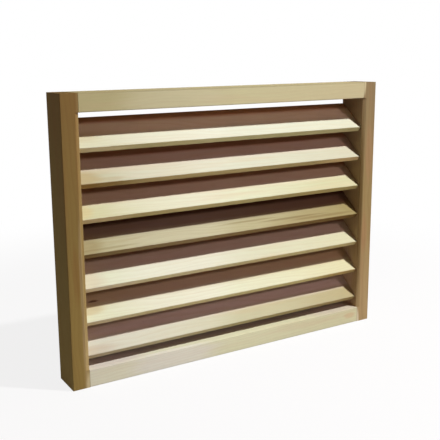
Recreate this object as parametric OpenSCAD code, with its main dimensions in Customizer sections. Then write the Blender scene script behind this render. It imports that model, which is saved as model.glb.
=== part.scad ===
// Louvred timber vent: a rectangular frame of square-edged members, the stiles
// running full height with the rails butted between them, and a ladder of fixed
// pitched blades housed in the stiles.
//
// Axes: X across the width, -Y is the front (weather) face, +Z up.
// The origin is the middle of the footprint, on the underside of the bottom rail.

/* [Frame] */
// Overall width, over the outer faces of the stiles
frame_w = 406.4; // [250:0.1:900]
// Overall height, from the underside of the bottom rail to the top of the top rail
frame_h = 304.8; // [220:0.1:900]
// Depth of the frame members, front to back
frame_d = 38.1; // [30:0.1:60]
// Face width of each stile
stile_w = 19.05; // [14:0.05:45]
// Face height of the top rail
top_rail_h = 19.05; // [14:0.05:45]
// Face height of the bottom rail, which is the sill of the opening
bottom_rail_h = 19.05; // [14:0.05:45]

/* [Arrises] */
// Radius left by sanding on the long edges of the frame members
arris_r = 0.8; // [0.2:0.1:1.5]
// Width of the bevel on the front inner edge of each stile, between the rails
inner_bevel_w = 4; // [1:0.5:8]
// Depth of that bevel, back from the front of the frame
inner_bevel_d = 2; // [0.5:0.5:6]

/* [Blades] */
// Number of blades in the ladder
blade_count = 7; // [4:1:9]
// Thickness of a blade
blade_t = 7; // [4:0.5:10]
// Pitch of the blades above the horizontal, rising to the back (degrees)
blade_angle = 40; // [30:1:48]
// Radius on the two edges of a blade's front
blade_arris_r = 0.6; // [0.2:0.1:1.5]
// Set-back of the blades' front edge from the front of the frame
front_setback = 4; // [1:0.5:8]
// Set-back of the blades' plumb-cut rear edge from the back of the frame
back_setback = 0.8; // [0:0.1:4]
// Air gap between the top rail and the rear edge of the top blade
top_gap = 7.4; // [5:0.1:20]
// Air gap between the sill and the front edge of the lowest blade
bottom_gap = 8.5; // [5:0.1:20]

/* [Housings] */
// Depth of the housings that take the ends of the blades
housing_depth = 6; // [3:0.5:10]
// Clearance all round a blade in its housing
housing_fit = 0.15; // [0.05:0.05:0.4]

/* [Hidden] */
$fn = 48;
// How far a cutter runs past the face that it opens
over = 1;
// Degrees from one point to the next round a blade's eased edges
arris_step = 22.5;

opening_w = frame_w - 2 * stile_w;
opening_h = frame_h - top_rail_h - bottom_rail_h;
front_y = -frame_d / 2;

// The blade's section in YZ, measured from its front top edge
blade_run = frame_d - front_setback - back_setback;
blade_rise = blade_run * tan(blade_angle);
front_drop = blade_t * cos(blade_angle);
plumb_t = blade_t / cos(blade_angle);
blade_len = opening_w + 2 * (housing_depth - housing_fit);

// The ladder is spaced evenly between the two air gaps
lowest_z = bottom_rail_h + bottom_gap + front_drop;
highest_z = frame_h - top_rail_h - top_gap - blade_rise;
pitch = (highest_z - lowest_z) / (blade_count - 1);

// Height of the front top edge of blade i, counted from the top
function blade_z(i) = highest_z - (i - 1) * pitch;

// Rectangle centred on the origin, its four corners rounded to r
module eased_rectangle(w, d, r) {
    square([w - 2 * r, d], center = true);
    square([w, d - 2 * r], center = true);
    for (x = [-1, 1], y = [-1, 1])
        translate([x * (w / 2 - r), y * (d / 2 - r)]) circle(r);
}

// Turns a point from the blade's own axes, X along its face, to the level
function pitched(p) = [
    p.x * cos(blade_angle) - p.y * sin(blade_angle),
    p.x * sin(blade_angle) + p.y * cos(blade_angle)];

// Points of a rounded corner of radius r about a centre, in the blade's own axes
function eased_corner(centre, r, from) =
    [for (turn = [from:arris_step:from + 90]) pitched(centre + r * [cos(turn), sin(turn)])];

// Blade section, X running from front to back and Y up, from the front top edge.
// The front is cut square to the face and eased, the rear is cut plumb.
module blade_section(r) {
    polygon(concat(
        eased_corner([r, -r], r, 90),
        eased_corner([r, r - blade_t], r, 180),
        [[blade_run, blade_rise - plumb_t], [blade_run, blade_rise]]));
}

// Room for the end of a blade: its section grown by the fit, and open at the back
module housing_section() {
    grow = housing_fit;
    rise_out = over * tan(blade_angle);
    fit_plumb = grow / cos(blade_angle);
    nose = [-grow * cos(blade_angle), -grow * sin(blade_angle)];
    polygon([
        nose + grow * [-sin(blade_angle), cos(blade_angle)],
        nose + (blade_t + grow) * [sin(blade_angle), -cos(blade_angle)],
        [blade_run + back_setback + over,
            blade_rise + back_setback * tan(blade_angle) + rise_out - plumb_t - fit_plumb],
        [blade_run + back_setback + over,
            blade_rise + back_setback * tan(blade_angle) + rise_out + fit_plumb]]);
}

// Turns a section drawn in XY so that it stands in YZ and runs from x = 0 to len
module along_x(len) {
    rotate([90, 0, 90]) linear_extrude(len) children();
}

// The left stile; the right one is its mirror image
module stile() {
    inner_x = -opening_w / 2;
    difference() {
        translate([inner_x - stile_w / 2, 0, 0])
            linear_extrude(frame_h) eased_rectangle(stile_w, frame_d, arris_r);
        // Bevelled front inner edge, stopped at the two rails
        translate([inner_x, front_y, bottom_rail_h])
            linear_extrude(opening_h)
                polygon([
                    [-2 * inner_bevel_w, -inner_bevel_d],
                    [inner_bevel_w, -inner_bevel_d],
                    [inner_bevel_w, 2 * inner_bevel_d]]);
        // Stopped housings, run in from the back
        for (i = [1:blade_count])
            translate([inner_x - housing_depth, front_y + front_setback, blade_z(i)])
                along_x(housing_depth + over) housing_section();
    }
}

module rail(height) {
    translate([-opening_w / 2, 0, height / 2])
        along_x(opening_w) eased_rectangle(frame_d, height, arris_r);
}

module left_stile() {
    color("#7d6139") stile();
}

module right_stile() {
    color("#9c7f58") mirror([1, 0, 0]) stile();
}

module top_rail() {
    color("#c6b588") translate([0, 0, frame_h - top_rail_h]) rail(top_rail_h);
}

module bottom_rail() {
    color("#cfc5a2") rail(bottom_rail_h);
}

module blade(i) {
    color("#e3dbbb")
        translate([-blade_len / 2, front_y + front_setback, blade_z(i)])
            along_x(blade_len) blade_section(blade_arris_r);
}

left_stile();
right_stile();
top_rail();
bottom_rail();
for (i = [1:blade_count])
    blade(i);
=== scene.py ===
"""Looks of a louvred timber vent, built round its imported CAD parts.

The frame's four members keep their CAD shapes and get a solid-wood finish each.
The blades are swept again by Geometry Nodes, with the small unevenness that sanding
by hand leaves along an arris, and stand for the CAD blades.
"""

import logging
import math
from dataclasses import dataclass
from enum import Enum
from typing import Any, Union

import bpy
from mathutils import Euler, Matrix, Vector


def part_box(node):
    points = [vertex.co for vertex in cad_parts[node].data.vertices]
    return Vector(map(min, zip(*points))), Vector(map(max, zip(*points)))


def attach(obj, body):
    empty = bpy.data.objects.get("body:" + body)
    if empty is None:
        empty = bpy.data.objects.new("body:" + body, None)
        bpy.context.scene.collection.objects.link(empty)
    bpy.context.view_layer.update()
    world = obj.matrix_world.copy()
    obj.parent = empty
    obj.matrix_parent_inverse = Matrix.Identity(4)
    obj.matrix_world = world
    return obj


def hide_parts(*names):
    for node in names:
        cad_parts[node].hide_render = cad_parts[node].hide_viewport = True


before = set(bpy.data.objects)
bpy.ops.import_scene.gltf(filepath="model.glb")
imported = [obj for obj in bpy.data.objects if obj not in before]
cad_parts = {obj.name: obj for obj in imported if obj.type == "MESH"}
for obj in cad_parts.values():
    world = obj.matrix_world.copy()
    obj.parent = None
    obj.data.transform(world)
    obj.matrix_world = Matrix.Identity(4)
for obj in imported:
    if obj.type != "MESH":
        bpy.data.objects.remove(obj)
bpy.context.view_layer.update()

Socket = bpy.types.NodeSocket

LOG = logging.getLogger("vent")
MM = 0.001
WHITE = (1.0, 1.0, 1.0, 1.0)
SMOOTH = {"interpolation_type": "SMOOTHSTEP"}


# ---- Colours and node trees ----


@dataclass(frozen=True)
class Colour:
    """A colour as a screen shows it, each part from 0 to 255."""

    red: float
    green: float
    blue: float

    def linear(self) -> tuple[float, float, float, float]:
        """Gives the colour as a shader's socket takes it."""
        shares = (self.red / 255, self.green / 255, self.blue / 255)
        return (*(s / 12.92 if s <= 0.04045 else ((s + 0.055) / 1.055) ** 2.4 for s in shares), 1.0)


@dataclass(frozen=True)
class Pattern:
    """One kind of unevenness, as solid noise.

    Attributes:
        size: Its length along each axis, in the units of the place that it reads.
        step: What it adds to the piece's seed, so that no two patterns agree.
        detail: How many finer layers it has.
        roughness: How strong the finer layers are.
    """

    size: tuple[float, float, float]
    step: float = 0.0
    detail: float = 2.0
    roughness: float = 0.5


class Value:
    """A number that varies: the output socket of a node, with arithmetic of its own."""

    def __init__(self, tree: "NodeTree", socket: Socket) -> None:
        """Wraps an output socket of a tree."""
        self.tree = tree
        self.socket = socket

    def __add__(self, other: "Operand") -> "Value":
        """Adds."""
        return self.tree.maths("ADD", self, other)

    __radd__ = __add__

    def __sub__(self, other: "Operand") -> "Value":
        """Takes away."""
        return self.tree.maths("SUBTRACT", self, other)

    def __rsub__(self, other: "Operand") -> "Value":
        """Is taken away from a number."""
        return self.tree.maths("SUBTRACT", other, self)

    def __mul__(self, other: "Operand") -> "Value":
        """Multiplies."""
        return self.tree.maths("MULTIPLY", self, other)

    __rmul__ = __mul__

    def __truediv__(self, other: "Operand") -> "Value":
        """Divides."""
        return self.tree.maths("DIVIDE", self, other)

    def __abs__(self) -> "Value":
        """Drops the sign."""
        return self.tree.maths("ABSOLUTE", self)

    def fraction(self) -> "Value":
        """Keeps what is past the last whole number."""
        return self.tree.maths("FRACT", self)

    def root(self) -> "Value":
        """Gives the square root."""
        return self.tree.maths("SQRT", self)

    def step(self, low: float, high: float) -> "Value":
        """Rises smoothly from 0 at low to 1 at high, or falls where low is the larger."""
        sockets = {"Value": self, "From Min": low, "From Max": high}
        return Value(self.tree, self.tree.node("ShaderNodeMapRange", SMOOTH, sockets).outputs[0])


Operand = Union[Value, float]


class NodeTree:
    """A node tree of any kind, filled by one method for nodes and by expressions."""

    def __init__(self, tree: bpy.types.NodeTree) -> None:
        """Wraps a tree."""
        self.tree = tree

    def node(
        self,
        kind: str,
        settings: dict[str, Any] | None = None,
        sockets: dict[str | int, Any] | None = None,
    ) -> bpy.types.Node:
        """Adds one node of any type.

        Args:
            kind: Blender's name of the node type.
            settings: The node's own settings, set before its sockets. "stops" are a ramp's
                places and colours.
            sockets: What goes into its sockets, by name, identifier or number: a plain value,
                a Colour, a Value or another node's output.

        Returns:
            The node.
        """
        made = self.tree.nodes.new(kind)
        for key, value in (settings or {}).items():
            if key == "stops":
                self._set_stops(made.color_ramp, value)
            else:
                setattr(made, key, value)
        for key, value in (sockets or {}).items():
            self._feed(self._find(made.inputs, key), value)
        return made

    def maths(self, operation: str, *operands: Operand) -> Value:
        """Adds a Math node.

        Args:
            operation: Blender's name of the operation.
            *operands: Its numbers, in order.

        Returns:
            The result.
        """
        node = self.node("ShaderNodeMath", {"operation": operation}, dict(enumerate(operands)))
        return Value(self, node.outputs[0])

    def vector(self, operation: str, *operands: Any) -> Socket:
        """Adds a Vector Math node.

        Args:
            operation: Blender's name of the operation.
            *operands: Its vectors, in order.

        Returns:
            The socket of the resulting vector.
        """
        node = self.node("ShaderNodeVectorMath", {"operation": operation}, dict(enumerate(operands)))
        return node.outputs["Vector"]

    def length(self, vector: Socket) -> Value:
        """Gives the length of a vector."""
        node = self.node("ShaderNodeVectorMath", {"operation": "LENGTH"}, {0: vector})
        return Value(self, node.outputs["Value"])

    def split(self, vector: Socket) -> tuple[Value, Value, Value]:
        """Takes a vector apart into its three numbers."""
        node = self.node("ShaderNodeSeparateXYZ", None, {"Vector": vector})
        return tuple(Value(self, node.outputs[axis]) for axis in "XYZ")

    def join(self, x: Operand, y: Operand, z: Operand) -> Socket:
        """Puts three numbers together into a vector."""
        return self.node("ShaderNodeCombineXYZ", None, {"X": x, "Y": y, "Z": z}).outputs[0]

    def noise(self, place: Socket, pattern: Pattern, seed: Operand) -> Value:
        """Adds solid noise, centred on 0.5.

        Args:
            place: Where on the piece, as a vector.
            pattern: The kind of unevenness.
            seed: Picks the piece.

        Returns:
            The noise, from 0 to 1.
        """
        sockets = {
            "Vector": self.vector("DIVIDE", place, pattern.size),
            "W": seed + pattern.step,
            "Scale": 1.0,
            "Detail": pattern.detail,
            "Roughness": pattern.roughness,
        }
        node = self.node("ShaderNodeTexNoise", {"noise_dimensions": "4D"}, sockets)
        return Value(self, node.outputs[0])

    def mix(self, share: Operand, first: Any, second: Any, blend: str = "MIX") -> Socket:
        """Mixes two colours.

        Args:
            share: How much of the second, from 0 to 1.
            first: The first colour.
            second: The second colour, or a Value as grey.
            blend: Blender's name of the way of mixing.

        Returns:
            The socket of the mixed colour.
        """
        settings = {"data_type": "RGBA", "blend_type": blend}
        node = self.node("ShaderNodeMix", settings, {"Factor": share, "A": first, "B": second})
        return self._find(node.outputs, "Result")

    def _set_stops(self, ramp: bpy.types.ColorRamp, stops: list[tuple[float, Colour]]) -> None:
        """Gives a ramp its places and colours.

        Args:
            ramp: The ramp.
            stops: Each place, from 0 to 1, with its colour.
        """
        while len(ramp.elements) < len(stops):
            ramp.elements.new(1.0)
        for element, (place, colour) in zip(ramp.elements, stops):
            element.position = place
            element.color = colour.linear()

    def _find(self, sockets: Any, key: str | int) -> Socket:
        """Finds a socket that is in use.

        Args:
            sockets: A node's inputs or outputs.
            key: The socket's number, name or identifier.

        Returns:
            The socket.
        """
        if isinstance(key, int):
            return sockets[key]
        return next(s for s in sockets if s.enabled and key in (s.name, s.identifier))

    def _feed(self, socket: Socket, value: Any) -> None:
        """Links an output to a socket, or sets the socket's own value.

        Args:
            socket: The socket.
            value: What goes in.
        """
        if isinstance(value, Value):
            self.tree.links.new(value.socket, socket)
        elif isinstance(value, Socket):
            self.tree.links.new(value, socket)
        elif isinstance(value, Colour):
            socket.default_value = value.linear()
        else:
            socket.default_value = value


class MaterialTree(NodeTree):
    """The node tree of a new material."""

    def __init__(self, name: str) -> None:
        """Makes an empty material.

        Args:
            name: The material's name.
        """
        self.material = bpy.data.materials.new(name)
        self.material.use_nodes = True
        super().__init__(self.material.node_tree)
        self.tree.nodes.clear()

    def finish(self, shader: Socket) -> bpy.types.Material:
        """Ends the tree in a surface shader and gives the material."""
        self.node("ShaderNodeOutputMaterial", None, {"Surface": shader})
        return self.material


# ---- Wood ----


# The patterns that lie over each other in a board, in millimetres along, across and through it
HEART_ACROSS = Pattern((150.0, 45.0, 45.0))
HEART_THROUGH = Pattern((150.0, 45.0, 45.0), 1.7)
RIPPLE = Pattern((26.0, 5.0, 5.0), 2.3)
STREAK = Pattern((85.0, 1.7, 1.7), 3.1, 3.0, 0.6)
FIBRE = Pattern((11.0, 0.32, 0.32), 5.3, 2.0, 0.65)
TONE_DRIFT = Pattern((70.0, 22.0, 22.0), 7.7)
BLUSH = Pattern((120.0, 9.0, 9.0), 8.3)
FLECK = Pattern((2.6, 0.42, 0.42), 9.7, 0.0)
STAIN_OR_PAINTED_LIGHT_EDGE = Pattern((55.0, 4.0, 4.0))
KNOT_EDGE = Pattern((3.0, 0.9, 0.9))
# How boldly the rings show, in years
BOLD_YEAR = Pattern((1.6, 1.0, 1.0), 6.1)

# Where the smooth step of each starts and ends
STREAK_RANGE = (0.5, 0.82)
FLECK_RANGE = (0.76, 0.84)
BLUSH_RANGE = (0.5, 0.72)
BOLD_RANGE = (0.3, 0.7)
LATE_RISE = (0.3, 0.88)
LATE_FALL = (1.0, 0.92)
STAIN_OR_PAINTED_LIGHT_RANGE = (1.15, 0.45)
KNOT_RANGE = (1.1, 0.35)
FACING_RANGE = (0.6, 0.9)
ARRIS_RANGE = (2.2, 0.2)

# Where a board's three tones lie, as shares of its length
TONE_PLACES = (0.06, 0.5, 0.94)
# How far the tones drift along the board, as a share of its length
TONE_STRAY = 0.25
# How far a ring ripples in and out, in millimetres
RIPPLE_HEIGHT = 1.3
# How far the rings' width strays, and over how many of them, in years
YEAR_STRAY = 2.2
YEAR_SPAN = 3.0
# How strongly the faintest ring shows
FAINTEST = 0.35
# How far the rings bend round a knot, and how far off they start to, as shares of its breadth
KNOT_SWELL = 2.5
KNOT_SWELL_REACH = 4.0
# How far a knot's edge strays, as a share of its size
KNOT_RAGGED = 0.9
KNOT_TONE = Colour(74, 46, 28)
# What each millimetre along the board adds to the seed of a patch, so that no two edges agree
STAIN_OR_PAINTED_LIGHT_SEED = 0.1

# What the fibres, the late wood and the streaks add to the relief
FIBRE_RELIEF = 0.6
LATE_RELIEF = 0.35
STREAK_RELIEF = 0.3
BUMP_STRENGTH = 0.3
# What the fibres and the sawn ends add to the roughness, and what the late wood takes away
FIBRE_DULLNESS = 0.2
END_DULLNESS = 0.2
LATE_POLISH = 0.06
SPECULAR = 0.03


@dataclass(frozen=True)
class Board:
    """Where a board lies, and how large it is.

    Attributes:
        middle: The middle of the board, in metres.
        half: Half its length, width and thickness, in millimetres.
        turn: The turn that takes X, Y and Z to its length, width and thickness.
    """

    middle: Vector
    half: Vector
    turn: Euler


class Grain(Enum):
    """Which way a member's fibres run, as the turn from the board's own axes to the level ones.

    A level member runs along X, its width lies along Y and its thickness along Z. An upright
    one runs along Z, its width lies along X and its thickness along Y.
    """

    LEVEL = Matrix.Identity(3)
    UPRIGHT = Matrix(((0.0, 1.0, 0.0), (0.0, 0.0, 1.0), (1.0, 0.0, 0.0)))


class Side(Enum):
    """A side of a board, by the way it faces along, across and through the board."""

    END = (1.0, 0.0, 0.0)
    NEAR = (0.0, -1.0, 0.0)
    TOP = (0.0, 0.0, 1.0)
    UNDER = (0.0, 0.0, -1.0)


class BoardTree(MaterialTree):
    """The node tree of a new material that follows one board.

    Attributes:
        board: The board.
        place: The place in the board's own axes, in millimetres from its middle.
        x: The place along the board.
        y: The place across it.
        z: The place through it.
    """

    def __init__(self, name: str, board: Board) -> None:
        """Makes an empty material for a board.

        Args:
            name: The material's name.
            board: The board.
        """
        super().__init__(name)
        self.board = board
        self._coordinates = self.node("ShaderNodeTexCoord")
        sockets = {
            "Vector": self._coordinates.outputs["Object"],
            "Location": board.middle,
            "Rotation": board.turn,
            "Scale": (MM, MM, MM),
        }
        self.place = self.node("ShaderNodeMapping", {"vector_type": "TEXTURE"}, sockets).outputs[0]
        self.x, self.y, self.z = self.split(self.place)

    def facing(self, side: Side, both: bool = False) -> Value:
        """Marks the faces on one side of the board.

        Args:
            side: The side.
            both: Whether the opposite side is marked as well.

        Returns:
            1 on that side and 0 elsewhere.
        """
        outward = self.board.turn.to_matrix() @ Vector(side.value)
        sockets = {0: self._coordinates.outputs["Normal"], 1: outward}
        node = self.node("ShaderNodeVectorMath", {"operation": "DOT_PRODUCT"}, sockets)
        share = Value(self, node.outputs["Value"])
        return (abs(share) if both else share).step(*FACING_RANGE)

    def arris(self) -> Value:
        """Marks the strip beside each long edge."""
        gap = (self.board.half.y - abs(self.y)) + (self.board.half.z - abs(self.z))
        return gap.step(*ARRIS_RANGE)


@dataclass(frozen=True)
class Knot:
    """A pin knot or a scar where a branch ended.

    Attributes:
        along: Its place along the board from the middle, in millimetres.
        across: Its place across the board from the middle, in millimetres.
        length: Its half length along the fibres, in millimetres.
        breadth: Its half breadth, in millimetres.
        depth: How dark it is, from 0 to 1.
    """

    along: float
    across: float
    length: float
    breadth: float
    depth: float


@dataclass(frozen=True)
class StainOrPaintedLight:
    """A long patch or band of another tone. Some are the wood's own colouring, such as heartwood or
    resin; others are painted shade and painted light.

    Attributes:
        middle: Its place along, across and through the board from the middle, in millimetres.
        half: Half its length, breadth and thickness, in millimetres.
        colour: Its tone.
        depth: How strongly it shows, from 0 to 1.
        ragged: How far its edge strays, as a share of its size.
    """

    middle: tuple[float, float, float]
    half: tuple[float, float, float]
    colour: Colour
    depth: float
    ragged: float = 0.5


@dataclass(frozen=True)
class FaceTone:
    """How the wood on one side of a board differs in tone from the rest.

    Attributes:
        side: The side.
        tint: What the wood's colour is multiplied by, where 255 leaves it alone.
    """

    side: Side
    tint: Colour


@dataclass(frozen=True)
class WoodFinish:
    """The bare, sanded wood of one board, with rings that run through the solid.

    Attributes:
        name: The material's name.
        tones: The wood's colour at the left or lower end, the middle and the other end.
        ring: The colour of the late wood in each ring.
        blush: The second tone that comes and goes in long patches.
        seed: Picks the board out of the tree.
        ring_depth: How strongly the late wood shows, from 0 to 1.
        streak: How strongly the long streaks show, from 0 to 1.
        pith: Where the tree's heart lay, across and through the board, in millimetres.
        lean: How far the heart line leaned through the board, for each millimetre along.
        ring_gap: Width of a year's ring, in millimetres.
        wander: How far the rings stray from straight, in millimetres.
        blush_depth: How strongly the second tone shows, from 0 to 1.
        knots: Its knots.
        stains_and_painted_light: Its patches and bands of another tone: its own colouring, painted
            shade and painted light.
        sides: The sides whose wood is darker or warmer than the rest.
        streak_contrast: How far the streaks lighten and darken the wood.
        fibre_contrast: How far single fibres lighten and darken it.
        fleck_depth: How strongly short resin flecks show, from 0 to 1.
        end_shade: How much darker the sawn ends are.
        arris_shade: How much darker the long edges are.
        coarseness: The wood's roughness, where 1 is wholly dull.
        relief: Height of the raised grain, in millimetres.
    """

    name: str
    tones: tuple[Colour, Colour, Colour]
    ring: Colour
    blush: Colour
    seed: float
    ring_depth: float
    streak: float
    pith: tuple[float, float] = (14.0, -38.0)
    lean: float = 0.02
    ring_gap: float = 2.6
    wander: float = 7.0
    blush_depth: float = 0.25
    knots: tuple[Knot, ...] = ()
    stains_and_painted_light: tuple[StainOrPaintedLight, ...] = ()
    sides: tuple[FaceTone, ...] = ()
    streak_contrast: float = 0.35
    fibre_contrast: float = 0.16
    fleck_depth: float = 0.22
    end_shade: float = 0.3
    arris_shade: float = 0.05
    coarseness: float = 0.72
    relief: float = 0.15

    def material(self, board: Board) -> bpy.types.Material:
        """Builds the material for a board.

        Args:
            board: Where the board lies.

        Returns:
            The material.
        """
        tree = BoardTree(self.name, board)
        late = self._late_wood(tree)
        streak = tree.noise(tree.place, STREAK, self.seed)
        fibre = tree.noise(tree.place, FIBRE, self.seed)
        end_grain = tree.facing(Side.END, both=True)

        colour = self._tone(tree)
        for stain_or_painted_light in self.stains_and_painted_light:
            colour = tree.mix(self._stained_or_painted(tree, stain_or_painted_light), colour, stain_or_painted_light.colour)
        colour = tree.mix(late * self.ring_depth, colour, self.ring)
        colour = tree.mix(streak.step(*STREAK_RANGE) * self.streak, colour, self.ring)
        light = 1.0 + (streak - 0.5) * self.streak_contrast * self.streak
        colour = tree.mix(1.0, colour, light, "MULTIPLY")
        colour = tree.mix(1.0, colour, 1.0 + (fibre - 0.5) * self.fibre_contrast, "MULTIPLY")
        fleck = tree.noise(tree.place, FLECK, self.seed).step(*FLECK_RANGE)
        colour = tree.mix(fleck * self.fleck_depth, colour, self.ring)
        for knot in self.knots:
            colour = tree.mix(self._knot_stain(tree, knot), colour, KNOT_TONE)
        shade = 1.0 - end_grain * self.end_shade - tree.arris() * self.arris_shade
        colour = tree.mix(1.0, colour, shade, "MULTIPLY")
        for tone in self.sides:
            colour = tree.mix(tree.facing(tone.side), colour, tone.tint, "MULTIPLY")

        height = fibre * FIBRE_RELIEF + late * LATE_RELIEF + streak * STREAK_RELIEF
        sockets = {"Height": height, "Strength": BUMP_STRENGTH, "Distance": self.relief * MM}
        bump = tree.node("ShaderNodeBump", None, sockets)
        roughness = self.coarseness + (fibre - 0.5) * FIBRE_DULLNESS
        sockets = {
            "Base Color": colour,
            "Roughness": roughness - late * LATE_POLISH + end_grain * END_DULLNESS,
            "Specular IOR Level": SPECULAR,
            "Normal": bump.outputs["Normal"],
        }
        shader = tree.node("ShaderNodeBsdfPrincipled", None, sockets)
        return tree.finish(shader.outputs[0])

    def _late_wood(self, tree: BoardTree) -> Value:
        """Marks the late wood of the rings round the tree's heart line.

        Args:
            tree: The material's tree.

        Returns:
            1 in the late wood, falling to 0 in the early wood of the next ring.
        """
        across = tree.y - self.pith[0] + self._stray(tree, HEART_ACROSS)
        through = tree.z - self.pith[1] - tree.x * self.lean + self._stray(tree, HEART_THROUGH)
        radius = (across * across + through * through).root()
        radius = radius + (tree.noise(tree.place, RIPPLE, self.seed) - 0.5) * RIPPLE_HEIGHT
        for knot in self.knots:
            radius = radius + self._knot_swell(tree, knot)
        year_width = Pattern((self.ring_gap * YEAR_SPAN, 1.0, 1.0), 4.9)
        uneven = tree.noise(tree.join(radius, 0.0, 0.0), year_width, self.seed)
        ring = radius / self.ring_gap + uneven * YEAR_STRAY
        phase = ring.fraction()
        bold = tree.noise(tree.join(ring, 0.0, 0.0), BOLD_YEAR, self.seed).step(*BOLD_RANGE)
        boldness = FAINTEST + bold * (1.0 - FAINTEST)
        return phase.step(*LATE_RISE) * phase.step(*LATE_FALL) * boldness

    def _stray(self, tree: BoardTree, pattern: Pattern) -> Value:
        """Gives how far the rings stray here, in millimetres."""
        return (tree.noise(tree.place, pattern, self.seed) - 0.5) * (self.wander * 2)

    def _tone(self, tree: BoardTree) -> Socket:
        """Gives the wood's own colour, which changes slowly along the board.

        Args:
            tree: The material's tree.

        Returns:
            The socket of the colour.
        """
        drift = tree.noise(tree.place, TONE_DRIFT, self.seed)
        share = tree.x / (tree.board.half.x * 2) + 0.5 + (drift - 0.5) * TONE_STRAY
        stops = list(zip(TONE_PLACES, self.tones))
        tone = tree.node("ShaderNodeValToRGB", {"stops": stops}, {0: share}).outputs[0]
        patch = tree.noise(tree.place, BLUSH, self.seed).step(*BLUSH_RANGE)
        return tree.mix(patch * self.blush_depth, tone, self.blush)

    def _stained_or_painted(self, tree: BoardTree, stain_or_painted_light: StainOrPaintedLight) -> Value:
        """Gives how strongly a patch of colouring or painted light shows here.

        Args:
            tree: The material's tree.
            stain_or_painted_light: The patch.

        Returns:
            The patch's depth inside it, falling smoothly to 0 at its ragged edge.
        """
        seed = self.seed + stain_or_painted_light.middle[0] * STAIN_OR_PAINTED_LIGHT_SEED
        stray = tree.noise(tree.place, STAIN_OR_PAINTED_LIGHT_EDGE, seed) - 0.5
        offset = tree.vector("DIVIDE", tree.vector("SUBTRACT", tree.place, stain_or_painted_light.middle), stain_or_painted_light.half)
        reach = tree.length(offset) + stray * (2 * stain_or_painted_light.ragged)
        return reach.step(*STAIN_OR_PAINTED_LIGHT_RANGE) * stain_or_painted_light.depth

    def _reach(self, tree: BoardTree, knot: Knot, spread: float) -> Value:
        """Gives the distance from a knot.

        Args:
            tree: The material's tree.
            knot: The knot.
            spread: What its size is multiplied by.

        Returns:
            0 at its middle and 1 at its spread edge.
        """
        along = (tree.x - knot.along) / (knot.length * spread)
        across = (tree.y - knot.across) / (knot.breadth * spread)
        return (along * along + across * across).root()

    def _knot_swell(self, tree: BoardTree, knot: Knot) -> Value:
        """Gives how far the rings bend round a knot, in millimetres."""
        reach = self._reach(tree, knot, KNOT_SWELL_REACH)
        return reach.step(1.0, 0.0) * (knot.breadth * KNOT_SWELL)

    def _knot_stain(self, tree: BoardTree, knot: Knot) -> Value:
        """Gives how dark a knot is here."""
        ragged = (tree.noise(tree.place, KNOT_EDGE, self.seed + knot.along) - 0.5) * KNOT_RAGGED
        return (self._reach(tree, knot, 1.0) + ragged).step(*KNOT_RANGE) * knot.depth


# ---- The frame ----


@dataclass
class FrameMember:
    """A stile or rail, which keeps its CAD shape.

    Attributes:
        node: The CAD node's name.
        grain: Which way its fibres run.
        finish: Its wood.
    """

    node: str
    grain: Grain
    finish: WoodFinish

    def board(self) -> Board:
        """Reads the member's place and size from its CAD box.

        Returns:
            The board.
        """
        low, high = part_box(self.node)
        half = (high - low) / 2 / MM
        if self.grain is Grain.UPRIGHT:
            half = Vector((half.z, half.x, half.y))
        return Board((low + high) / 2, half, self.grain.value.to_euler())

    def dress(self) -> bpy.types.Object:
        """Puts the member's wood on the CAD object's slots.

        Returns:
            The object.
        """
        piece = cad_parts[self.node]
        material = self.finish.material(self.board())
        for slot in piece.material_slots:
            slot.material = material
        return piece


# ---- The blades ----


class ShapeTree(NodeTree):
    """A Geometry Nodes tree with named inputs."""

    def __init__(self, name: str) -> None:
        """Makes an empty tree.

        Args:
            name: The tree's name.
        """
        super().__init__(bpy.data.node_groups.new(name, "GeometryNodeTree"))
        kind = "NodeSocketGeometry"
        self.tree.interface.new_socket("Geometry", in_out="OUTPUT", socket_type=kind)
        self.identifiers: dict[str, str] = {}
        self._group_input = self.tree.nodes.new("NodeGroupInput")

    def input(self, name: str, kind: str) -> Socket:
        """Adds a named input.

        Args:
            name: The input's name.
            kind: Float, Int, Vector or Material.

        Returns:
            The socket that gives its value inside the tree.
        """
        kind = f"NodeSocket{kind}"
        item = self.tree.interface.new_socket(name, in_out="INPUT", socket_type=kind)
        self.identifiers[name] = item.identifier
        return self._group_input.outputs[name]

    def number(self, name: str) -> Value:
        """Adds a named input that is a number and gives it as a Value."""
        return Value(self, self.input(name, "Float"))

    def finish(self, geometry: Socket, material: Socket) -> None:
        """Ends the tree: makes instances real and sets the material.

        Args:
            geometry: The finished geometry.
            material: Its material.
        """
        real = self.node("GeometryNodeRealizeInstances", None, {0: geometry})
        sockets = {"Geometry": real.outputs[0], "Material": material}
        dressed = self.node("GeometryNodeSetMaterial", None, sockets)
        self.node("NodeGroupOutput", None, {0: dressed.outputs[0]})

    def run(self, name: str, values: dict[str, Any]) -> bpy.types.Object:
        """Runs the tree once and keeps the result as a plain mesh.

        Args:
            name: Name of the new object.
            values: The value of each named input.

        Returns:
            The object, linked to the scene, with no modifier.
        """
        carrier = bpy.data.objects.new(name, bpy.data.meshes.new(name))
        bpy.context.scene.collection.objects.link(carrier)
        modifier = carrier.modifiers.new("shape", "NODES")
        modifier.node_group = self.tree
        for key, value in values.items():
            modifier[self.identifiers[key]] = value
        view = bpy.context.evaluated_depsgraph_get()
        mesh = bpy.data.meshes.new_from_object(carrier.evaluated_get(view))
        mesh.name = name
        carrier.modifiers.remove(modifier)
        empty = carrier.data
        carrier.data = mesh
        bpy.data.meshes.remove(empty)
        return carrier


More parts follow.
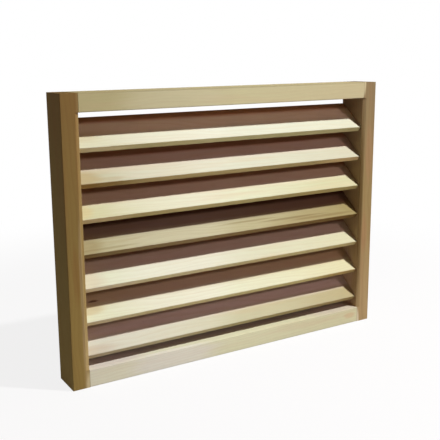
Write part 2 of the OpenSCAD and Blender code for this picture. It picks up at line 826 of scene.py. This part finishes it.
@dataclass
class BladeLadder:
    """The fixed blades, each swept from its section and housed in the stiles.

    Attributes:
        finishes: The wood of each blade, from the top down.
        slope: Slope of a blade, rising to the back, in degrees.
        thickness: Thickness of a blade, in millimetres.
        front_setback: Set-back of the front edge from the front of the frame, in millimetres.
        front_arris: Radius on the two front edges, in millimetres.
        rear_arris: Radius on the two rear edges, in millimetres.
        arris_steps: Faces round each eased edge.
        slices: Slices along a blade.
        nick: Deepest unevenness that sanding leaves along the front edge, in millimetres.
        nick_pattern: Its pattern along the three axes, in metres.
        nick_range: Where in that pattern a nick starts and where it is deepest.
        nick_reach: How far behind the front edge it ends, in millimetres.
        bow: How far a blade bows in the middle, in millimetres.
    """

    finishes: tuple[WoodFinish, ...]
    slope: float = 40.0
    thickness: float = 7.0
    front_setback: float = 4.0
    front_arris: float = 0.6
    rear_arris: float = 0.25
    arris_steps: int = 5
    slices: int = 190
    nick: float = 0.25
    nick_pattern: Pattern = Pattern((9.0 * MM, 4.0 * MM, 4.0 * MM))
    nick_range: tuple[float, float] = (0.42, 0.78)
    nick_reach: float = 2.0
    bow: float = 0.12

    def build(self) -> list[bpy.types.Object]:
        """Builds every blade and gives them from the top down."""
        tree = self._sweep_tree()
        return [self._blade(tree, number, wood) for number, wood in enumerate(self.finishes, start=1)]

    def _blade(self, tree: ShapeTree, number: int, finish: WoodFinish) -> bpy.types.Object:
        """Builds one blade in the place of its CAD node.

        Args:
            tree: The tree that sweeps a blade.
            number: The blade's number, counted from the top.
            finish: Its wood.

        Returns:
            The blade's object.
        """
        node = f"blade_{number}"
        low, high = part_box(node)
        slope = math.radians(self.slope)
        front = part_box("left_stile")[0].y + self.front_setback * MM
        run = high.y - front
        rise = run * math.tan(slope)
        face = run / math.cos(slope)
        edge = Vector(((low.x + high.x) / 2, front, high.z - rise))
        along_face = Vector((0.0, math.cos(slope), math.sin(slope)))
        into_wood = Vector((0.0, math.sin(slope), -math.cos(slope)))
        middle = edge + along_face * (face / 2) + into_wood * (self.thickness / 2 * MM)
        half = Vector((high.x - low.x, face, self.thickness * MM)) / 2 / MM
        values = {
            "Length": high.x - low.x,
            "Run": run,
            "Slope": slope,
            "Thickness": self.thickness * MM,
            "Front Edge": edge,
            "Front Arris": self.front_arris * MM,
            "Rear Arris": self.rear_arris * MM,
            "Nick": self.nick * MM,
            "Bow": self.bow * MM * (1 if number % 2 else -1),
            "Arris Steps": self.arris_steps,
            "Slices": self.slices,
            "Seed": float(number),
            "Finish": finish.material(Board(middle, half, Euler((slope, 0.0, 0.0)))),
        }
        piece = tree.run(f"{node}_planed", values)
        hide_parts(node)
        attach(piece, "root")
        return piece

    def _sweep_tree(self) -> ShapeTree:
        """Makes the tree that sweeps one blade from its section.

        Returns:
            The tree.
        """
        tree = ShapeTree("swept_blade")
        length = tree.number("Length")
        run = tree.number("Run")
        slope = tree.number("Slope")
        thickness = tree.number("Thickness")
        front_edge = tree.input("Front Edge", "Vector")
        section = self._section(tree, run, slope, thickness)
        left = tree.join(length * -0.5, 0.0, 0.0)
        right = tree.join(length * 0.5, 0.0, 0.0)
        sockets = {"Start": left, "End": right}
        spine = tree.node("GeometryNodeCurvePrimitiveLine", None, sockets).outputs[0]
        sockets = {"Curve": spine, "Count": tree.input("Slices", "Int")}
        spine = tree.node("GeometryNodeResampleCurve", None, sockets).outputs[0]
        sockets = {"Curve": spine, "Profile Curve": section, "Fill Caps": True}
        swept = tree.node("GeometryNodeCurveToMesh", None, sockets).outputs[0]
        worked = self._unevenness(tree, swept, length, slope)
        sockets = {"Geometry": worked, "Offset": front_edge}
        placed = tree.node("GeometryNodeSetPosition", None, sockets).outputs[0]
        sockets = {"Geometry": placed, "Shade Smooth": False}
        flat = tree.node("GeometryNodeSetShadeSmooth", None, sockets).outputs[0]
        tree.finish(flat, tree.input("Finish", "Material"))
        return tree

    def _section(self, tree: ShapeTree, run: Value, slope: Value, thickness: Value) -> Socket:
        """Draws the blade's section: the front cut square to the face, the rear cut plumb.

        The sweep turns the section half round, so its points are drawn with both signs changed.

        Args:
            tree: The tree that is being made.
            run: The level depth of the blade.
            slope: Its slope, in radians.
            thickness: Its thickness.

        Returns:
            The closed curve, its corners eased.
        """
        sine = tree.maths("SINE", slope)
        cosine = tree.maths("COSINE", slope)
        rise = run * sine / cosine
        corners = {
            "Point 1": tree.join(0.0, 0.0, 0.0),
            "Point 2": tree.join(thickness * sine * -1, thickness * cosine, 0.0),
            "Point 3": tree.join(run * -1, thickness / cosine - rise, 0.0),
            "Point 4": tree.join(run * -1, rise * -1, 0.0),
        }
        settings = {"mode": "POINTS"}
        quad = tree.node("GeometryNodeCurvePrimitiveQuadrilateral", settings, corners).outputs[0]
        corner = Value(tree, tree.node("GeometryNodeInputIndex").outputs[0])
        # The front corners are 0 and 1, the rear ones 2 and 3
        is_rear = tree.maths("GREATER_THAN", corner, 1.5)
        front_arris = tree.number("Front Arris")
        rear_arris = tree.number("Rear Arris")
        radius = front_arris + (rear_arris - front_arris) * is_rear
        sockets = {"Curve": quad, "Count": tree.input("Arris Steps", "Int"), "Radius": radius}
        return tree.node("GeometryNodeFilletCurve", {"mode": "POLY"}, sockets).outputs[0]

    def _unevenness(self, tree: ShapeTree, swept: Socket, length: Value, slope: Value) -> Socket:
        """Presses the front edge in here and there, as sanding does, and bows the blade.

        Args:
            tree: The tree that is being made.
            swept: The swept blade, its front top edge on the X axis.
            length: Its length.
            slope: Its slope, in radians.

        Returns:
            The worked blade.
        """
        nick = tree.number("Nick")
        bow = tree.number("Bow")
        seed = tree.number("Seed")
        sine = tree.maths("SINE", slope)
        cosine = tree.maths("COSINE", slope)
        position = tree.node("GeometryNodeInputPosition").outputs[0]
        x, y, z = tree.split(position)
        from_front = y * cosine + z * sine
        near_front = from_front.step(self.nick_reach * MM, self.nick_reach / 2 * MM)
        hollow = tree.noise(position, self.nick_pattern, seed).step(*self.nick_range)
        push = near_front * hollow * nick
        share = x / (length * 0.5)
        lift = bow * (1.0 - share * share)
        offset = tree.join(0.0, push * cosine - lift * sine, push * sine + lift * cosine)
        sockets = {"Geometry": swept, "Offset": offset}
        return tree.node("GeometryNodeSetPosition", None, sockets).outputs[0]


# ---- The studio ----


# What the lamps are turned to, in metres
VENT_MIDDLE = Vector((0.0, 0.0, 0.15))
# Width of the camera's sensor, in millimetres
SENSOR_WIDTH = 36.0
# The floor's own colour, where it shows a shadow
SHADED_WHITE = (0.9, 0.9, 0.9, 1.0)


def direction(azimuth: float, elevation: float) -> Vector:
    """Gives the way from the object to a viewer.

    Args:
        azimuth: Degrees round the object, 0 in front of it and 90 on its right.
        elevation: Degrees above the level.

    Returns:
        The unit vector.
    """
    around = math.radians(azimuth)
    up = math.radians(elevation)
    return Vector((math.sin(around) * math.cos(up), -math.cos(around) * math.cos(up), math.sin(up)))


@dataclass(frozen=True)
class Lamp:
    """A round area lamp.

    Attributes:
        name: Its name.
        place: Where it hangs, in metres.
        width: Its width, in metres.
        power: Its power, in watts.
        colour: The colour of its light, red, green and blue from 0 to 1.
    """

    name: str
    place: Vector
    width: float
    power: float
    colour: tuple[float, float, float] = (1.0, 1.0, 1.0)

    def build(self) -> None:
        """Hangs the lamp, turned to the middle of the vent."""
        data = bpy.data.lights.new(self.name, "AREA")
        data.shape = "DISK"
        data.size = self.width
        data.energy = self.power
        data.color = self.colour
        lamp = bpy.data.objects.new(self.name, data)
        lamp.location = self.place
        lamp.rotation_euler = (VENT_MIDDLE - self.place).to_track_quat("-Z", "Y").to_euler()
        bpy.context.scene.collection.objects.link(lamp)


@dataclass(frozen=True)
class CameraView:
    """The camera, by what it looks at and from where.

    Attributes:
        target: The point on the optical axis in the plane of the vent, in metres.
        azimuth: Degrees round the object.
        elevation: Degrees above the level.
        distance: Distance from the target, in metres.
        roll: Turn about the optical axis, in degrees.
        lens: Focal length, in millimetres.
        shift: Shift of the lens, in sensor widths.
    """

    target: Vector
    azimuth: float
    elevation: float
    distance: float
    roll: float
    lens: float
    shift: tuple[float, float]

    def build(self) -> None:
        """Sets the camera up as the scene's own."""
        data = bpy.data.cameras.new("camera")
        data.lens = self.lens
        data.sensor_width = SENSOR_WIDTH
        data.shift_x, data.shift_y = self.shift
        data.clip_start = 0.05
        camera = bpy.data.objects.new("camera", data)
        back = direction(self.azimuth, self.elevation)
        level = (-back).to_track_quat("-Z", "Y").to_matrix()
        turn = level @ Matrix.Rotation(math.radians(self.roll), 3, "Z")
        camera.location = self.target + back * self.distance
        camera.rotation_euler = turn.to_euler()
        bpy.context.scene.collection.objects.link(camera)
        bpy.context.scene.camera = camera


@dataclass
class Studio:
    """A pale floor, a white surround, the lamps and the camera.

    Attributes:
        view: The camera.
        lamps: The lamps.
        surround: Colour of the light from all round, as seen by the object.
        surround_strength: Its strength.
        floor_width: Width of the floor, in metres.
        floor_drop: How far the floor lies under the vent, in millimetres.
        floor_tone: Grey of the floor as the object sees it, from 0 to 1.
        sheet_tone: Grey of the sheet that lies in front, as the object sees it.
        sheet_middle: Middle of that sheet on the floor, in metres.
        sheet_half: Half its width and depth, in metres.
        sheet_blur: How far its edge blends into the floor on each side, in metres.
        shadow_depth: How strongly the floor shows shadows to the camera, from 0 to 1.
        shadow_reach: Distances from the middle between which the shadows fade out, in metres.
    """

    view: CameraView
    lamps: tuple[Lamp, ...]
    surround: tuple[float, float, float] = (1.0, 0.4, 0.33)
    surround_strength: float = 0.06
    floor_width: float = 8.0
    floor_drop: float = 0.2
    floor_tone: float = 0.24
    sheet_tone: float = 0.5
    sheet_middle: tuple[float, float] = (0.06, -0.24)
    sheet_half: tuple[float, float] = (0.26, 0.22)
    sheet_blur: float = 0.02
    shadow_depth: float = 0.15
    shadow_reach: tuple[float, float] = (0.35, 0.8)

    def build(self) -> None:
        """Builds the floor, the surround, the lamps and the camera."""
        bpy.context.scene.view_settings.view_transform = "Standard"
        self._floor()
        self._surround()
        for lamp in self.lamps:
            lamp.build()
        self.view.build()

    def _floor(self) -> None:
        """Lays the floor just under the vent."""
        half = self.floor_width / 2
        corners = [(x, y, -self.floor_drop * MM) for x in (-half, half) for y in (-half, half)]
        mesh = bpy.data.meshes.new("floor")
        mesh.from_pydata(corners, [], [(0, 2, 3, 1)])
        mesh.materials.append(self._floor_material())
        floor = bpy.data.objects.new("floor", mesh)
        bpy.context.scene.collection.objects.link(floor)

    def _floor_material(self) -> bpy.types.Material:
        """Makes the floor white to the eye, with a faint shadow, and a plain grey to the vent.

        Returns:
            The material.
        """
        tree = MaterialTree("pale_floor")
        place = tree.node("ShaderNodeTexCoord").outputs["Object"]
        near = tree.length(place).step(self.shadow_reach[1], self.shadow_reach[0])
        white = tree.node("ShaderNodeEmission", None, {"Color": WHITE, "Strength": 1.0}).outputs[0]
        lit = tree.node("ShaderNodeBsdfDiffuse", None, {"Color": SHADED_WHITE}).outputs[0]
        sockets = {0: near * self.shadow_depth, 1: white, 2: lit}
        seen = tree.node("ShaderNodeMixShader", None, sockets).outputs[0]
        x, y, _ = tree.split(place)
        off_x = abs(x - self.sheet_middle[0]) - self.sheet_half[0]
        off_y = abs(y - self.sheet_middle[1]) - self.sheet_half[1]
        blur = self.sheet_blur
        on_sheet = off_x.step(blur, -blur) * off_y.step(blur, -blur)
        grey = self.floor_tone + on_sheet * (self.sheet_tone - self.floor_tone)
        sockets = {"Color": tree.join(grey, grey, grey)}
        plain = tree.node("ShaderNodeBsdfDiffuse", None, sockets).outputs[0]
        sockets = {0: seen_directly(tree), 1: plain, 2: seen}
        return tree.finish(tree.node("ShaderNodeMixShader", None, sockets).outputs[0])

    def _surround(self) -> None:
        """Makes the world white to the eye and a low, even light to the vent."""
        world = bpy.data.worlds.new("surround")
        world.use_nodes = True
        world.node_tree.nodes.clear()
        bpy.context.scene.world = world
        tree = NodeTree(world.node_tree)
        white = tree.node("ShaderNodeBackground", None, {"Color": WHITE, "Strength": 1.0}).outputs[0]
        sockets = {"Color": (*self.surround, 1.0), "Strength": self.surround_strength}
        dim = tree.node("ShaderNodeBackground", None, sockets).outputs[0]
        sockets = {0: seen_directly(tree), 1: dim, 2: white}
        mixed = tree.node("ShaderNodeMixShader", None, sockets).outputs[0]
        tree.node("ShaderNodeOutputWorld", None, {"Surface": mixed})


def seen_directly(tree: NodeTree) -> Value:
    """Tells what the camera sees, by itself or in a mirror or glass, from what light reaches.

    Args:
        tree: The tree that asks.

    Returns:
        1 for what is seen and 0 for what is lit.
    """
    path = tree.node("ShaderNodeLightPath")
    names = ("Is Camera Ray", "Is Glossy Ray", "Is Transmission Ray")
    camera, glossy, glass = (Value(tree, path.outputs[name]) for name in names)
    return tree.maths("MAXIMUM", camera, tree.maths("MAXIMUM", glossy, glass))


# ---- This vent ----


# Half length of a band that runs the whole length of a board, in millimetres
WHOLE = 500.0
# Where a frame member's front and a blade's top lie from the middle of the board, in millimetres
FRONT = -19.0
TOP = 3.5

STILE_RING = Colour(122, 88, 52)
PALE_WOOD = {"ring": Colour(204, 186, 140), "blush": Colour(222, 198, 158), "streak": 0.17}

LEFT_STILE = WoodFinish(
    name="left_stile_wood",
    tones=(Colour(170, 146, 84), Colour(156, 134, 77), Colour(146, 119, 70)),
    ring=STILE_RING,
    seed=1.0,
    ring_depth=0.18,
    streak=0.2,
    blush=Colour(150, 108, 66),
    stains_and_painted_light=(
        StainOrPaintedLight((0.0, 11.0, FRONT), (WHOLE, 5.5, 30.0), Colour(172, 150, 100), 0.5, 0.25),
        StainOrPaintedLight((-150.0, 10.0, FRONT), (110.0, 8.0, 30.0), Colour(198, 176, 124), 0.8, 0.3),
        StainOrPaintedLight((-152.0, 10.0, FRONT), (18.0, 6.0, 30.0), Colour(230, 216, 168), 0.9, 0.15),
        StainOrPaintedLight((-30.0, 0.0, FRONT), (34.0, 5.0, 14.0), Colour(148, 100, 58), 0.3),
        StainOrPaintedLight((-40.0, 5.0, FRONT), (90.0, 2.5, 30.0), Colour(198, 178, 136), 0.4, 0.4),
    ),
    sides=(FaceTone(Side.NEAR, Colour(242, 245, 255)),),
)
RIGHT_STILE = WoodFinish(
    name="right_stile_wood",
    tones=(Colour(191, 166, 120), Colour(171, 150, 101), Colour(156, 138, 102)),
    ring=STILE_RING,
    seed=2.0,
    ring_depth=0.18,
    streak=0.22,
    blush=Colour(176, 130, 92),
    stains_and_painted_light=(
        StainOrPaintedLight((-38.0, -2.0, FRONT), (26.0, 6.0, 16.0), Colour(186, 132, 98), 0.3),
        StainOrPaintedLight((62.0, 2.0, FRONT), (44.0, 6.0, 16.0), Colour(190, 140, 106), 0.32),
        # Painted shade: a dark band down the bevelled inner front edge, which faces away from the lamps
        StainOrPaintedLight((0.0, -9.0, -18.0), (134.0, 3.4, 2.6), Colour(116, 94, 54), 0.85, 0.1),
        StainOrPaintedLight((-104.0, -9.5, 2.0), (52.0, 2.0, 15.0), Colour(222, 198, 164), 0.4, 0.4),
        StainOrPaintedLight((-152.0, -9.5, FRONT), (18.5, 4.2, 4.0), Colour(246, 238, 204), 0.9, 0.1),
        StainOrPaintedLight((152.0, -9.5, FRONT), (18.5, 3.8, 4.0), Colour(228, 218, 174), 0.9, 0.1),
    ),
    sides=(FaceTone(Side.NEAR, Colour(255, 248, 255)),),
)
TOP_RAIL = WoodFinish(
    name="top_rail_wood",
    tones=(Colour(203, 197, 148), Colour(221, 218, 173), Colour(211, 203, 161)),
    seed=3.0,
    ring_depth=0.15,
    stains_and_painted_light=(
        StainOrPaintedLight((-76.0, FRONT, 0.0), (70.0, 30.0, 30.0), Colour(250, 250, 226), 0.17, 0.3),
        # Painted shade: the front edge of the top is darker, where the lamp lights the rounded arris
        # brightest
        StainOrPaintedLight((0.0, -20.0, 10.5), (WHOLE, 3.6, 2.6), Colour(160, 152, 116), 0.75, 0.1),
    ),
    sides=(
        # The underside's browner tone stands in for shade: it sends back less and redder light onto the
        # shaded part of blade 1
        FaceTone(Side.UNDER, Colour(226, 192, 178)),
        FaceTone(Side.TOP, Colour(222, 216, 206)),
    ),
    **PALE_WOOD,
)
BOTTOM_RAIL = WoodFinish(
    name="bottom_rail_wood",
    tones=(Colour(248, 250, 223), Colour(244, 247, 208), Colour(230, 230, 189)),
    seed=4.0,
    ring_depth=0.15,
    stains_and_painted_light=(
        StainOrPaintedLight((172.0, FRONT, 1.0), (11.0, 9.0, 4.2), Colour(222, 186, 136), 0.45, 0.35),
        # Painted shade: the top is darker behind its lit front strip, where blade 7 shades it
        StainOrPaintedLight((0.0, 10.0, 9.5), (WHOLE, 17.0, 3.0), Colour(186, 180, 164), 0.85, 0.08),
        # Painted shade: the right end of the top is darker, where the right stile shades it
        StainOrPaintedLight((160.0, -8.0, 9.5), (60.0, 16.0, 3.0), Colour(222, 212, 192), 0.8, 0.3),
        StainOrPaintedLight((-84.0, FRONT, 0.0), (60.0, 6.0, 30.0), Colour(255, 255, 250), 0.5, 0.3),
        # Painted shade: the left end of the top is a little darker, where the shade reaches further
        # forward
        StainOrPaintedLight((-160.0, -8.0, 9.5), (50.0, 16.0, 3.0), Colour(236, 228, 220), 0.7, 0.3),
    ),
    sides=(FaceTone(Side.TOP, Colour(244, 243, 244)),),
    **PALE_WOOD,
)

FRAME_MEMBERS = (
    FrameMember("left_stile", Grain.UPRIGHT, LEFT_STILE),
    FrameMember("right_stile", Grain.UPRIGHT, RIGHT_STILE),
    FrameMember("top_rail", Grain.LEVEL, TOP_RAIL),
    FrameMember("bottom_rail", Grain.LEVEL, BOTTOM_RAIL),
)


def painted_rear_half_shade(colour: Colour, depth: float) -> StainOrPaintedLight:
    """Gives painted shade on the rear half of a blade's top, where the blade above shades it; it sets
    the colour of that shade, paler on some blades and browner on others.
    """
    return StainOrPaintedLight((0.0, 7.0, TOP), (WHOLE, 14.0, 5.0), colour, depth, 0.12)


def edge_patch(along: float, reach: float, colour: Colour, depth: float) -> StainOrPaintedLight:
    """Gives the other tone of a stretch of a blade's front edge."""
    return StainOrPaintedLight((along, -22.0, 0.0), (reach, 1.2, 5.0), colour, depth, 0.3)


def blade_finish(
    number: int,
    tones: tuple[Colour, Colour, Colour],
    edge: Colour,
    stains_and_painted_light: tuple[StainOrPaintedLight, ...] = (),
    rear: Colour = Colour(178, 128, 94),
    pale: float = 0.2,
    **rest: Any,
) -> WoodFinish:
    """Gives the wood of one blade.

    Args:
        number: The blade's number, counted from the top.
        tones: Its tones at the left end, the middle and the right end.
        edge: The tint of its front edge.
        stains_and_painted_light: Its own colouring and painted shade.
        rear: The colour of the painted shade along its rear edge, where the blade above shades it most
            deeply.
        pale: How strongly a paler stretch left of the middle shows, from 0 to 1.
        **rest: Other fields of the finish.

    Returns:
        The finish.
    """
    paler = StainOrPaintedLight((-72.0, -8.0, TOP), (80.0, 30.0, 12.0), Colour(253, 253, 240), pale, 0.3)
    # Painted shade: a dark band along the rear edge of the top, where the blade above shades it most
    # deeply
    painted_rear_shade = StainOrPaintedLight((0.0, 19.0, TOP), (WHOLE, 9.0, 4.0), rear, 0.9, 0.1)
    return WoodFinish(
        name=f"blade_{number}_wood",
        tones=tones,
        seed=10.0 + number,
        ring_depth=0.17,
        stains_and_painted_light=(paler, *stains_and_painted_light, painted_rear_shade),
        # The browner undersides stand in for shade: they send back less and redder light onto the
        # shaded part of the blade below
        sides=(FaceTone(Side.UNDER, Colour(160, 122, 104)), FaceTone(Side.NEAR, edge)),
        **(PALE_WOOD | rest),
    )


# On each blade the tone given to the rear half of the top is painted shade, where the blade above
# shades it
BLADES = (
    blade_finish(
        1,
        (Colour(224, 227, 196), Colour(225, 232, 212), Colour(213, 217, 194)),
        Colour(255, 243, 200),
        (
            painted_rear_half_shade(Colour(252, 244, 228), 0.55),
            StainOrPaintedLight((-176.0, -6.0, TOP), (22.0, 8.0, 8.0), Colour(212, 198, 156), 0.4, 0.3),
            edge_patch(-170.0, 60.0, Colour(255, 255, 246), 0.9),
        ),
    ),
    blade_finish(
        2,
        (Colour(204, 205, 174), Colour(221, 226, 203), Colour(205, 206, 181)),
        Colour(246, 222, 178),
        (
            StainOrPaintedLight((-150.0, -18.0, TOP), (17.0, 3.0, 12.0), Colour(186, 166, 124), 0.3, 0.4),
            StainOrPaintedLight((-178.0, -15.0, TOP), (22.0, 12.0, 20.0), Colour(190, 168, 116), 0.6, 0.35),
            painted_rear_half_shade(Colour(229, 214, 197), 0.8),
            edge_patch(-160.0, 40.0, Colour(170, 142, 92), 0.6),
            edge_patch(165.0, 50.0, Colour(252, 248, 226), 0.7),
        ),
    ),
    blade_finish(
        3,
        (Colour(220, 222, 179), Colour(229, 235, 204), Colour(208, 210, 170)),
        Colour(250, 232, 190),
        (
            painted_rear_half_shade(Colour(236, 221, 197), 0.8),
            edge_patch(-170.0, 60.0, Colour(255, 253, 236), 0.9),
            StainOrPaintedLight((-181.0, -11.0, TOP), (14.0, 12.0, 8.0), Colour(222, 202, 142), 0.45, 0.3),
        ),
        pale=0.26,
    ),
    blade_finish(
        4,
        (Colour(196, 193, 154), Colour(196, 192, 153), Colour(161, 149, 100)),
        Colour(210, 184, 158),
        (
            StainOrPaintedLight((22.0, -9.0, TOP), (46.0, 1.7, 20.0), Colour(122, 100, 60), 0.4, 0.4),
            StainOrPaintedLight((82.0, -13.0, TOP), (56.0, 1.7, 20.0), Colour(116, 94, 54), 0.45, 0.4),
            StainOrPaintedLight((134.0, -17.0, TOP), (62.0, 2.2, 20.0), Colour(122, 100, 58), 0.4, 0.4),
            StainOrPaintedLight((-158.0, -17.0, TOP), (42.0, 1.6, 20.0), Colour(130, 108, 68), 0.3, 0.4),
            StainOrPaintedLight((-180.0, -12.0, TOP), (24.0, 16.0, 8.0), Colour(154, 134, 86), 0.5, 0.3),
            # Painted shade: a dark purplish tone on the rear part of the top, where the blade above
            # shades it
            StainOrPaintedLight((0.0, 9.0, TOP), (WHOLE, 15.0, 20.0), Colour(98, 44, 78), 0.55, 0.12),
        ),
        # Painted shade along the rear edge, darker than on the other blades
        rear=Colour(98, 62, 46),
        pale=0.13,
        ring=Colour(150, 130, 86),
        blush=Colour(166, 146, 102),
        streak=0.35,
    ),
    blade_finish(
        5,
        (Colour(239, 247, 217), Colour(228, 232, 204), Colour(217, 218, 182)),
        Colour(255, 239, 206),
        (
            StainOrPaintedLight((-186.0, -12.0, TOP), (30.0, 20.0, 8.0), Colour(222, 190, 160), 0.35, 0.4),
            painted_rear_half_shade(Colour(234, 221, 202), 0.8),
            edge_patch(-170.0, 60.0, Colour(255, 255, 250), 0.9),
        ),
        pale=0.34,
    ),
    blade_finish(
        6,
        (Colour(237, 243, 210), Colour(237, 243, 212), Colour(225, 224, 183)),
        Colour(247, 232, 195),
        (
            # Painted shade: a browner tone on the rear half of the top, where the blade above shades it
            StainOrPaintedLight((0.0, 8.0, TOP), (WHOLE, 15.0, 5.0), Colour(196, 152, 112), 0.5, 0.12),
            edge_patch(-170.0, 60.0, Colour(255, 255, 248), 0.9),
            edge_patch(165.0, 45.0, Colour(188, 164, 118), 0.6),
            StainOrPaintedLight((-178.0, -7.0, TOP), (22.0, 8.0, 6.0), Colour(212, 188, 132), 0.5, 0.3),
        ),
        pale=0.36,
        knots=(Knot(-168.5, 2.6, 7.0, 1.9, 0.75),),
    ),
    blade_finish(
        7,
        (Colour(229, 231, 212), Colour(212, 214, 179), Colour(189, 179, 136)),
        Colour(231, 218, 197),
        (
            painted_rear_half_shade(Colour(246, 234, 226), 0.8),
            StainOrPaintedLight((-176.0, -17.0, TOP), (32.0, 7.0, 6.0), Colour(206, 190, 166), 0.45, 0.3),
        ),
    ),
)

LAMPS = (
    Lamp("key", Vector((0.632, -0.709, 1.432)), 0.075, 24.6),
    Lamp("second", Vector((0.8, -1.27, 0.766)), 0.12, 3.1, (1.0, 0.6, 0.58)),
    Lamp("behind", Vector((0.45, 1.3, 0.08)), 0.3, 4.0),
    Lamp("left_side", Vector((-1.4, 0.05, 0.2)), 0.3, 1.8),
    Lamp("right_side", Vector((1.4, 0.05, 0.2)), 0.3, 4.5),
)
VIEW = CameraView(
    target=Vector((-0.0504, 0.0, 0.1763)),
    azimuth=-29.79,
    elevation=11.39,
    distance=0.8074,
    roll=-0.78,
    lens=59.49,
    shift=(0.068, -0.034),
)


def main() -> None:
    """Builds the vent and its studio, and logs each piece."""
    logging.basicConfig(level=logging.INFO, format="%(message)s")
    pieces = [member.dress() for member in FRAME_MEMBERS] + BladeLadder(BLADES).build()
    for piece in pieces:
        LOG.info("%s: %d faces in %s", piece.name, len(piece.data.polygons), piece.active_material.name)
    Studio(VIEW, LAMPS).build()


if __name__ == "__main__":
    main()
